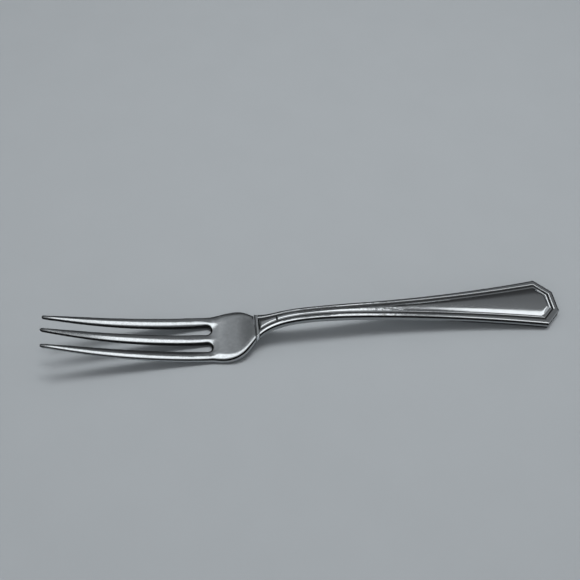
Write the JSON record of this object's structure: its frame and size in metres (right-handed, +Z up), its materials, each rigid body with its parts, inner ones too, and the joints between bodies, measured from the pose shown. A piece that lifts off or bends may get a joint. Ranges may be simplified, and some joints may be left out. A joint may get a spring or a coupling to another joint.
{
  "type": "seafood fork",
  "caption": "Slim seafood fork with long tapered tines, a cupped palm, a banded neck and a flared handle with a threaded border and a cut-corner end.",
  "frame": {"origin": "middle of the fork's length and width, on the surface that it lies on", "axes": "+X along the fork towards the end of the handle, +Y across it, +Z up from the surface that its back lies on"},
  "size_m": [0.15, 0.0164, 0.0161],
  "materials": {
    "satin_silver": "satin",
    "polished_silver": "polished",
    "cement_core": "matte"
  },
  "bodies": {
    "root": {"fork_head": "satin_silver", "neck_collar": "polished_silver", "handle_front": "polished_silver", "handle_back": "polished_silver", "handle_filler": "cement_core"}
  },
  "joints": []
}
